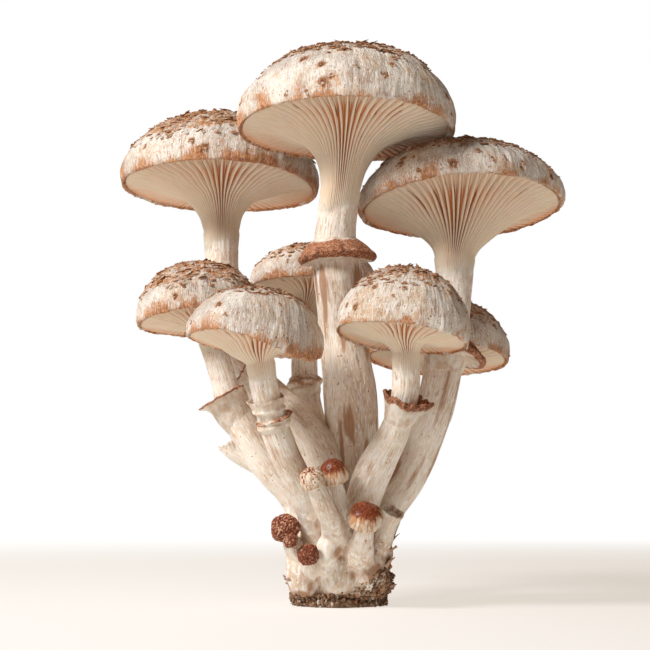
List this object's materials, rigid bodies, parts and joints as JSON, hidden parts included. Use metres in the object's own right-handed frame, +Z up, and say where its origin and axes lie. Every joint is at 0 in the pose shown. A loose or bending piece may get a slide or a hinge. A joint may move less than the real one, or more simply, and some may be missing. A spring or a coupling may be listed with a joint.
{
  "type": "oyster mushroom cluster",
  "caption": "Cluster of scaly-capped mushrooms with ringed stems and small buds, grown from one base that is trimmed flat to stand on, with a crust of soil under it.",
  "frame": {"origin": "middle of the flat underside that the cluster stands on", "axes": "+Z up along the stems, -Y is the front that the picture shows, +X to the right of the picture"},
  "size_m": [0.1601, 0.1453, 0.1878],
  "materials": {
    "soil": "matt crumbs",
    "stem_flesh": "matt fibrous flesh",
    "cap_skin": "matt, fibrous, with brown scales",
    "gills": "matt, thin ridged flesh",
    "bud_skin": "matt granular"
  },
  "bodies": {
    "root": {"soil_crust": "soil", "stem_cluster": "stem_flesh", "cap_center_tall": "cap_skin", "cap_left_tall": "cap_skin", "cap_right_tall": "cap_skin", "cap_left_mid": "cap_skin", "cap_left_front": "cap_skin", "cap_back_mid": "cap_skin", "cap_right_front": "cap_skin", "cap_right_back": "cap_skin", "gills_center_tall": "gills", "gills_left_tall": "gills", "gills_right_tall": "gills", "gills_left_mid": "gills", "gills_left_front": "gills", "gills_back_mid": "gills", "gills_right_front": "gills", "gills_right_back": "gills", "bud_cap_spotted": "bud_skin", "bud_cap_round": "bud_skin", "bud_cap_bell": "bud_skin", "bud_cap_rough": "bud_skin", "bud_cap_tiny": "bud_skin", "bud_cap_ball": "bud_skin"}
  },
  "joints": []
}
